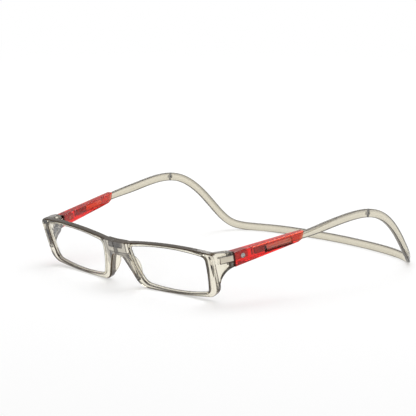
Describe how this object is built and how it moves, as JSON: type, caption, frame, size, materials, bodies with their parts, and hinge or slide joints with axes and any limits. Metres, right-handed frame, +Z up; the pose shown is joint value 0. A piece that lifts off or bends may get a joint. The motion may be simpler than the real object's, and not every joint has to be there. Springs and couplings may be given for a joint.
{
  "type": "magnetic bridge reading glasses",
  "caption": "Reading glasses in two halves that a magnetic bridge joins, with hinged, extending red sleeves and a one-piece neckband that springs open.",
  "frame": {"origin": "centre of the bottom of the bounding box, on the surface that the glasses stand on, on their plane of symmetry", "axes": "+Y from the front towards the back of the neckband, +Z up, +X towards the wearer's left half; the front looks along -Y"},
  "size_m": [0.1494, 0.1716, 0.037],
  "materials": {
    "frame_plastic": "clear smoke-grey moulded plastic, polished",
    "strip_plastic": "clear smoke-grey springy plastic, satin polish",
    "sleeve_plastic": "transparent red moulded plastic, polished",
    "tongue_plastic": "grey moulded plastic, polished",
    "catch_plastic": "dark smoke moulded plastic",
    "lens": "clear polished lens resin",
    "magnet": "nickel-plated magnet, dark",
    "screw_steel": "bright turned steel",
    "joiner_steel": "flat spring steel"
  },
  "bodies": {
    "neckband": {"neckband": "strip_plastic", "left_band_joiner": "joiner_steel"},
    "right_joiner": {"right_band_joiner": "joiner_steel"},
    "left_arm": {"left_side_arm": "strip_plastic", "left_adjuster_catch": "catch_plastic"},
    "left_sleeve": {"left_sleeve": "sleeve_plastic", "left_hinge_tongue": "tongue_plastic", "left_tongue_rivet": "screw_steel"},
    "left_front": {"left_front_half": "frame_plastic", "left_lens": "lens", "left_magnet": "magnet", "left_hinge_screw": "screw_steel"},
    "right_arm": {"right_side_arm": "strip_plastic", "right_adjuster_catch": "catch_plastic"},
    "right_sleeve": {"right_sleeve": "sleeve_plastic", "right_hinge_tongue": "tongue_plastic", "right_tongue_rivet": "screw_steel"},
    "right_front": {"right_front_half": "frame_plastic", "right_lens": "lens", "right_magnet": "magnet", "right_hinge_screw": "screw_steel"}
  },
  "joints": [
    {"name": "neck_flex", "type": "hinge", "parent": "neckband", "child": "right_joiner", "pos_m": [0, 0.08485, 0.00205], "axis": [0, 0, -1], "range_deg": [0, 45], "stiffness_Nm_per_rad": 0.05, "deforming": ["neckband"]},
    {"name": "right_give", "type": "hinge", "parent": "right_joiner", "child": "right_arm", "pos_m": [-0.07372, 0.02352, 0.03465], "axis": [0, 0, -1], "range_deg": [0, 1.37]},
    {"name": "right_slide", "type": "slide", "parent": "right_arm", "child": "right_sleeve", "axis": [0.153, -0.9771, -0.1478], "range_m": [0, 0.014]},
    {"name": "right_fold", "type": "hinge", "parent": "right_sleeve", "child": "right_front", "pos_m": [-0.06294, -0.06753, 0.02471], "axis": [0.0229, -0.146, 0.989], "range_deg": [0, 90]},
    {"name": "left_give", "type": "hinge", "parent": "neckband", "child": "left_arm", "pos_m": [0.07372, 0.02352, 0.03465], "axis": [0, 0, 1], "range_deg": [0, 1.37]},
    {"name": "left_slide", "type": "slide", "parent": "left_arm", "child": "left_sleeve", "axis": [-0.153, -0.9771, -0.1478], "range_m": [0, 0.014]},
    {"name": "left_fold", "type": "hinge", "parent": "left_sleeve", "child": "left_front", "pos_m": [0.06294, -0.06753, 0.02471], "axis": [0.0229, 0.146, -0.989], "range_deg": [0, 90]}
  ],
  "couplings": [
    {"joint": "right_give", "follows": "right_slide", "rad_per_m": 1.5784},
    {"joint": "left_give", "follows": "left_slide", "rad_per_m": 1.5784},
    {"joint": "right_fold", "follows": "neck_flex", "ratio": 2},
    {"joint": "left_fold", "follows": "neck_flex", "ratio": 2}
  ]
}
